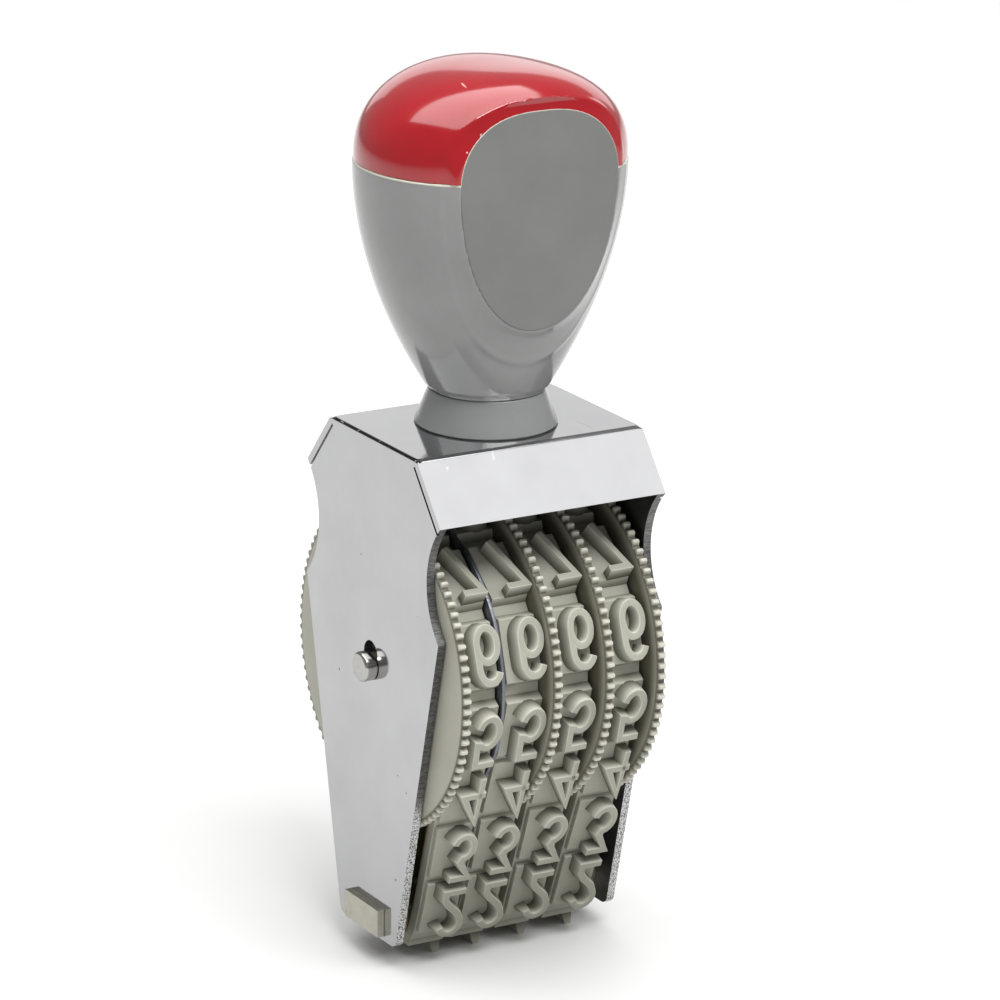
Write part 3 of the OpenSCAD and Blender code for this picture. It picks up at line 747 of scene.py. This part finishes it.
def addStroke(bm, points, closed, base, top, p, place, rightLimit):
    # ribbon along a centre line, extruded down with a draft and bevelled on top
    part = bmesh.new()
    edgeLayer = part.verts.layers.float.new("edge")
    deepLayer = part.verts.layers.float.new("deep")
    count = len(points)
    line = [Vector((x, y)) for x, y in points]

    def normalAt(i):
        before = line[i] - line[i - 1] if closed or i > 0 else line[1] - line[0]
        after = line[(i + 1) % count] - line[i] if closed or i < count - 1 else before
        n1 = Vector((-before.y, before.x)).normalized()
        n2 = Vector((-after.y, after.x)).normalized()
        middle = (n1 + n2).normalized()
        return middle / max(p["miterLimit"], middle.dot(n1))
    normals = [normalAt(i) for i in range(count)]
    spine = [part.verts.new((v.x, v.y, top)) for v in line]
    edges = [part.edges.new((spine[i], spine[(i + 1) % count])) for i in range(count if closed else count - 1)]
    made = bmesh.ops.extrude_edge_only(part, edges=edges)["geom"]
    twins = [g for g in made if isinstance(g, bmesh.types.BMVert)]
    half = p["stroke"] / 2
    for twin in twins:
        i = min(range(count), key=lambda j: (spine[j].co - twin.co).length_squared)
        twin.co = Vector((*(line[i] - normals[i] * half), top))
    for i in range(count):
        spine[i].co = Vector((*(line[i] + normals[i] * half), top))
    lower = bmesh.ops.extrude_face_region(part, geom=list(part.faces), use_keep_orig=True)["geom"]
    lower = [g for g in lower if isinstance(g, bmesh.types.BMVert)]
    for vert in lower:
        near = min(line, key=lambda c: (vert.co.xy - c).length_squared)
        out = (vert.co.xy - near).normalized()
        grow = p["draft"] + p["leftDraft"] * max(0.0, -out.x)
        vert.co = Vector((vert.co.x + out.x * grow, vert.co.y + out.y * grow, base))
    bmesh.ops.recalc_face_normals(part, faces=part.faces)
    rims = [e for e in sharpEdges(part, 30) if all(v.co.z > top - 0.01 for v in e.verts)]
    bevelEdges(part, rims, p["tipSoft"], 2)
    # painted highlight round the top of the stroke, painted shade at its foot
    for vert in part.verts:
        vert[edgeLayer] = 1.0 if top - p["tipRim"] < vert.co.z < top - p["skip"] else 0.0
        vert[deepLayer] = 1.0 if vert.co.z < base + p["strokeFoot"] else 0.0
        vert.co.x = min(vert.co.x, rightLimit)
    bmesh.ops.transform(part, matrix=place, verts=part.verts)
    pour(bm, part)


def addBlock(bm, place, length, q, width):
    # block with chamfered ends, stepped in from the left edge of the strip
    part = bmesh.new()
    edgeLayer = part.verts.layers.float.new("edge")
    deepLayer = part.verts.layers.float.new("deep")
    bmesh.ops.create_cube(part, size=1)
    low, high = q["cloth"] + q["blockFoot"], q["cloth"] + q["rubber"]
    bmesh.ops.scale(part, vec=(width - q["ledge"], length, high - low), verts=part.verts)
    bmesh.ops.translate(part, vec=(q["ledge"] / 2, 0, (low + high) / 2), verts=part.verts)
    for vert in part.verts:
        if vert.co.z > high - 0.01:
            vert.co.y -= math.copysign(q["chamfer"], vert.co.y)
    bevelEdges(part, list(part.edges), q["blockSoft"], 2)
    # painted highlight along the block's top edge, painted shade on its lower part
    for vert in part.verts:
        vert[edgeLayer] = q["blockRimTint"] if high - q["blockRim"] < vert.co.z < high - q["skip"] else 0.0
        vert[deepLayer] = q["footTint"] if vert.co.z < high - q["footDepth"] else 0.0
    bmesh.ops.transform(part, matrix=place, verts=part.verts)
    pour(bm, part)


def makeBand(index, p):
    rng = random.Random(40 + index)
    q = loopOf(p)
    low, high = cadBox(f"type_band_{index}")
    x, width = low.x, high.x - low.x
    bm = bmesh.new()
    for layer in ("edge", "deep"):
        bm.verts.layers.float.new(layer)
    stripBody(bm, x, width, q["cloth"], q["strip"] + q["cloth"], q, q["stripSoft"])
    foot, top = q["cloth"] + q["rubber"] - q["sink"], q["cloth"] + q["rubber"] + q["relief"]
    halfGlyph = p["halfWidth"] + p["stroke"] / 2
    shift = Matrix.Translation((width / 2 - q["margin"] - halfGlyph, 0, 0))
    mirrored = shift @ Matrix.Diagonal((1, -1, 1, 1))
    for station in range(-1 - q["blanks"], q["numerals"] - 1):
        place = blockPlace(station * q["pitch"], x + width / 2, q)
        place = place @ Matrix.Rotation(math.radians(rng.uniform(-q["skew"], q["skew"])), 4, "Z")
        addBlock(bm, place, q["pitch"] - q["groove"], q, width)
        digit = station + 1
        if digit < 0:
            continue
        for order, (points, closed) in enumerate(numeralStrokes(digit, p)):
            # a second stroke stands a hair lower, so that two faces never share a plane
            addStroke(bm, points, closed, foot, top - p["secondLower"] * order, p, place @ mirrored, halfGlyph)
    leanBand(bm, index, p, bm.verts.layers.float["deep"])
    finishPiece(bm, f"type_band_{index}_rubber", "housing", [f"type_band_{index}"],
                [mats["rubber"]], sharp=38, merge=0.0001)
    cloth = bmesh.new()
    cLow, cHigh = cadBox(f"band_backing_{index}")
    stripBody(cloth, cLow.x, cHigh.x - cLow.x, q["clothGap"], q["cloth"], q, q["clothSoft"])
    leanBand(cloth, index, p)
    finishPiece(cloth, f"band_backing_{index}_cloth", "housing", [f"band_backing_{index}"],
                [mats["cloth"]], sharp=60)


def leanBand(bm, index, p, darkenTowardsBar=None):
    # the bands draw together towards the platen bar, and are painted darker towards it
    for vert in bm.verts:
        share = max(0.0, min(1.0, (p["leanFrom"] - vert.co.z) / (p["leanFrom"] - p["leanTo"])))
        vert.co.x += p["lean"][index - 1] * share
        if darkenTowardsBar is not None:
            vert[darkenTowardsBar] = max(vert[darkenTowardsBar], p["darkenTowardsBar"] * share)


# handle: superellipse sections, a flat for the label plate and a chamfered land round it

grip = {"power": 2.1, "side": 2.0, "front": 1.7, "neck": 8.2, "halfDepth": 16.8, "wall": 2.0, "floor": 4.0,
        "around": 256, "rows": 84, "land": 13.12, "blend": 0.12, "fade": 0.8, "pocket": 12.3, "pocketStep": 0.5,
        "pocketShift": 0.3, "pocketWall": 1.2, "core": 4,
        "creaseZ": [86, 88.1, 92.6, 99.9, 105.3, 114.6], "creaseReach": [5.5, 4.5, 3.2, 2.2, 1.9, 1.9],
        "creaseDepth": [10.5, 10.97, 10.47, 10.78, 11.3, 11.7], "seamRound": 0.35, "footRound": 0.5}
cap = {"side": 2.3, "front": 3.2, "rows": 52, "crowd": 0.8, "lift": 0.06, "inset": 0.12, "lipWidth": 0.3,
       "ridgeZ": [114.2, 118.5, 121, 123, 124.3, 124.9, 126],
       "ridgeReach": [1.1, 1.8, 2.1, 2.1, 1.8, 1.7, 1.7],
       "ridgeDepth": [12.75, 12.05, 11.95, 12.4, 12.75, 13.2, 13.2]}
plate = {"broad": 0.31, "roundTop": 0.75, "roundFoot": 0.95, "points": 160, "checked": 240,
         "rims": [(0.03, 0.08), (0.09, 0.07), (0.1, 0.02)], "border": 0.5, "highlightFrom": 114.4}


def plateShape():
    low, high = cadBox("label_plate_front")
    return {"half": (high.x - low.x) / 2, "base": low.z, "height": high.z - low.z, "front": -low.y,
            "back": -high.y}


def plateOutline(p, count):
    e = plateShape()
    points = []
    for k in range(count):
        t = 2 * math.pi * k / count
        up = math.sin(t) > 0
        share = p["broad"] if up else 1 - p["broad"]
        power = p["roundTop"] if up else p["roundFoot"]
        x = e["half"] * math.copysign(abs(math.cos(t)) ** power, math.cos(t))
        points.append((x, e["base"] + e["height"] * (1 - p["broad"]) + e["height"] * share * math.sin(t)))
    return np.array(points)


def plateDistance(points):
    # signed distance of (x, z) points to the plate's outline, negative inside
    outline = plateOutline(plate, plate["checked"])
    after = np.roll(outline, -1, axis=0)
    best = np.full(len(points), 1e9)
    inside = np.zeros(len(points), bool)
    for a, b in zip(outline, after):
        d = b - a
        t = np.clip(((points - a) @ d) / max(d @ d, 1e-9), 0, 1)
        best = np.minimum(best, np.hypot(*(points - a - t[:, None] * d).T))
        crosses = (a[1] > points[:, 1]) != (b[1] > points[:, 1])
        rise = b[1] - a[1] if abs(b[1] - a[1]) > 1e-12 else 1e-12
        inside ^= crosses & (points[:, 0] < a[0] + (points[:, 1] - a[1]) / rise * d[0])
    return np.where(inside, -best, best)


def softMax(a, b, k):
    return (a + b + np.sqrt((a - b) ** 2 + k * k)) / 2


def pocketDepth(depth, away, p):
    # the pocket for the plate, sunk in the land round it
    slope = np.clip(1 + (away + p["pocketShift"]) / p["pocketStep"], 0, 1)
    pocket = p["pocket"] + (p["land"] - p["pocket"]) * slope
    return np.where(away < 0, pocket, depth)


def joined(depth, outer, kind, p):
    # outer faces take the shaped depth, the inner wall stays behind the pocket
    shaped = np.where((kind < 1) & (depth > p["core"]), outer, depth)
    return np.where(kind == 1, np.minimum(shaped, p["pocket"] - p["pocketWall"]), shaped)


def loft(rows, p):
    # rows of half width, half depth, height and kind (0 outer, 1 inner), bent from a grid
    bm = bmesh.new()
    bm.verts.layers.float.new("edge")
    bmesh.ops.create_grid(bm, x_segments=p["around"], y_segments=len(rows) - 1, size=1)
    verts = list(bm.verts)
    uv = np.array([v.co.xy for v in verts])
    turn = (uv[:, 0] + 1) * math.pi
    row = np.rint((uv[:, 1] + 1) / 2 * (len(rows) - 1)).astype(int)
    table = np.array(rows)[row]
    c, s = np.cos(turn), np.sin(turn)
    power = 2 / p["power"]
    x = table[:, 0] * np.sign(c) * np.abs(c) ** power
    y = table[:, 1] * np.sign(s) * np.abs(s) ** power
    return bm, verts, x, y, table[:, 2], table[:, 3]


def placeVerts(verts, x, y, z):
    for vert, a, b, c in zip(verts, x, y, z):
        vert.co = (a, b, c)


def makeGrip(p):
    low, high = cadBox("handle_body")
    a, b = high.x, p["halfDepth"]
    height = high.z - low.z

    def size(u, wall):
        return (p["neck"] + (a - p["neck"]) * (1 - (1 - u) ** p["side"]) - wall,
                p["neck"] + (b - p["neck"]) * (1 - (1 - u) ** p["front"]) - wall)
    rows = [(0, 0, low.z, 0)]
    for t in np.linspace(0, math.pi / 2, 5):
        w, d = size(0, p["footRound"] * (1 - math.sin(t)))
        rows.append((w, d, low.z + p["footRound"] * (1 - math.cos(t)), 0))
    start = p["footRound"] / height
    steps = p["rows"]
    for k in range(1, steps + 1):
        u = start + (1 - start - p["seamRound"] / height) * k / steps
        rows.append((*size(u, 0), low.z + u * height, 0))
    for t in np.linspace(0, math.pi / 2, 4)[1:]:
        w, d = size(1, p["seamRound"] * (1 - math.cos(t)))
        rows.append((w, d, high.z - p["seamRound"] * (1 - math.sin(t)), 0.5))
    for k in range(13):
        u = 1 - (1 - p["floor"] / height) * k / 12
        rows.append((*size(u, p["wall"]), low.z + u * height, 1))
    rows.append((0, 0, low.z + p["floor"], 1))
    bm, verts, x, y, z, kind = loft(rows, p)
    away = plateDistance(np.c_[x, z])
    depth = np.abs(y)
    reach = np.interp(z, p["creaseZ"], p["creaseReach"])
    share = np.clip(away / reach, 0, 1)
    land = p["land"] - (p["land"] - np.interp(z, p["creaseZ"], p["creaseDepth"])) * share
    lifted = softMax(depth, land, p["blend"])
    fade = np.clip((reach + p["fade"] - away) / p["fade"], 0, 1)
    outer = depth + (np.maximum(lifted, depth) - depth) * fade * fade * (3 - 2 * fade)
    placeVerts(verts, x, np.sign(y) * joined(depth, pocketDepth(outer, away, p), kind, p), z)
    # painted highlight: the rounded seam at the top of the grip is lighter
    edge = bm.verts.layers.float["edge"]
    for vert, k in zip(verts, kind):
        vert[edge] = 1.0 if k == 0.5 else 0.0
    finishPiece(bm, "handle_body_shell", "housing", ["handle_body"], [mats["grip"]], sharp=60)


def makeCap(p, g):
    low, high = cadBox("handle_cap")
    a, b = high.x, g["halfDepth"]
    height = high.z - low.z

    def size(v, wall):
        return ((a - wall) * max(0, 1 - v ** p["side"]) ** (1 / p["side"]),
                (b - wall) * max(0, 1 - v ** p["front"]) ** (1 / p["front"]))
    lift, inset = p["lift"], p["inset"]
    rows = []
    for k in range(p["rows"] + 1):
        v = math.cos(k / p["rows"] * math.pi / 2) ** p["crowd"]
        rows.append((*size(min(v, 1), inset), low.z + lift + v * (height - lift), 0))
    rows[0] = (0, 0, high.z, 0)
    for k in range(3):
        rows.append((*size(0, inset + p["lipWidth"] * (k + 1) / 3), low.z + lift * (1 - k / 4), 0.5))
    for k in range(13):
        v = math.sin(k / 12 * math.pi / 2)
        rows.append((*size(v, g["wall"]), low.z + v * (height - g["wall"]), 1))
    rows[-1] = (0, 0, high.z - g["wall"], 1)
    bm, verts, x, y, z, kind = loft(rows, g)
    away = plateDistance(np.c_[x, z])
    depth = np.abs(y)
    reach = np.interp(z, p["ridgeZ"], p["ridgeReach"])
    rim = g["land"] + (np.interp(z, p["ridgeZ"], p["ridgeDepth"]) - g["land"]) * np.clip(away / reach, 0, 1)
    fade = np.clip((reach + 0.2 - away) / 0.4, 0, 1)
    outer = depth + (rim - depth) * fade
    placeVerts(verts, x, np.sign(y) * joined(depth, pocketDepth(outer, away, g), kind, g), z)
    finishPiece(bm, "handle_cap_shell", "housing", ["handle_cap"], [mats["cap"]], sharp=60)


def makePlate(side, p):
    e = plateShape()
    node = "label_plate_front" if side < 0 else "label_plate_back"
    outline = plateOutline(p, p["points"])
    bm = bmesh.new()
    edge = bm.verts.layers.float.new("edge")
    deep = bm.verts.layers.float.new("deep")
    rims = p["rims"]
    start = e["front"] - sum(rise for inset, rise in rims)
    ring = bmesh.ops.create_circle(bm, cap_ends=True, radius=1, segments=p["points"])["verts"]
    for vert, (x, z) in zip(ring, outline):
        vert.co = (x, -start, z)
    made = bmesh.ops.extrude_face_region(bm, geom=list(bm.faces), use_keep_orig=True)["geom"]
    for vert in [g for g in made if isinstance(g, bmesh.types.BMVert)]:
        vert.co.y = -e["back"]
    bmesh.ops.recalc_face_normals(bm, faces=bm.faces)
    front = [f for f in bm.faces if all(abs(v.co.y + start) < 0.001 for v in f.verts)]
    for inset, rise in rims:
        bmesh.ops.inset_region(bm, faces=front, thickness=inset, depth=rise, use_even_offset=True)
    bmesh.ops.inset_region(bm, faces=front, thickness=p["border"], use_even_offset=True)
    # painted light on the rim: a painted highlight in its upper part, painted shade in its lower part
    low = -e["front"] + rims[-1][1] + 0.004
    for vert in bm.verts:
        if vert.co.y > low:
            vert[edge if vert.co.z > p["highlightFrom"] else deep] = 1.0
    if side > 0:
        bmesh.ops.rotate(bm, cent=(0, 0, 0), matrix=Matrix.Rotation(math.pi, 3, "Z"), verts=bm.verts)
    finishPiece(bm, node + "_face", "housing", [node], [mats["label"]], sharp=50)


collar = {"narrow": 8.2, "hole": 2.2, "soft": 0.25, "lip": 0.06, "around": 128}


def makeCollar(p):
    low, high = cadBox("handle_collar")
    wide, narrow, hole, soft = high.x, p["narrow"], p["hole"], p["soft"]
    profile = [(hole, low.z), (wide - soft, low.z), (wide, low.z + soft), (wide - p["lip"], low.z + soft * 1.6),
               (narrow, high.z - soft * 0.6), (narrow - soft * 0.6, high.z), (hole, high.z)]
    bm = bmesh.new()
    verts = [bm.verts.new((r, 0, z)) for r, z in profile]
    edges = [bm.edges.new((verts[i], verts[(i + 1) % len(verts)])) for i in range(len(verts))]
    bmesh.ops.spin(bm, geom=verts + edges, axis=(0, 0, 1), cent=(0, 0, 0), angle=2 * math.pi, steps=p["around"],
                   use_merge=True)
    finishPiece(bm, "handle_collar_cone", "housing", ["handle_collar"], [mats["collar"]],
                sharp=25)


metalParts = [
    # node, finish, material, bevel width, sharpest angle left alone
    ("axle", "bright_steel", "axle", 0.1, 30),
    ("thrust_washer", "bright_steel", "axle", 0.08, 40),
    ("divider_disc", "blued_steel", "disc", 0.08, 40),
    ("platen_bar", "bar_steel", "bar", 0.15, 40),
    ("handle_screw", "bright_steel", "axle", 0.2, 40),
    ("screw_washer", "bright_steel", "axle", 0.08, 40),
    ("handle_nut", "bright_steel", "axle", 0.15, 25),
]


makeCamera(view)
makeStudio(studio)
print("studio ready")
makeFrame(sheet)
print("frame done")
for number in range(1, 5):
    makeWheel(number, wheel)
print("wheels done")
for number in range(1, 5):
    makeBand(number, band)
print("bands done")
makeGrip(grip)
makeCap(cap, grip)
for side in (-1, 1):
    makePlate(side, plate)
makeCollar(collar)
print("handle done")
for node, slotName, metal, width, angle in metalParts:
    bevelledCopy(node, "housing", mats[metal], width, angle)
print("metal parts done")
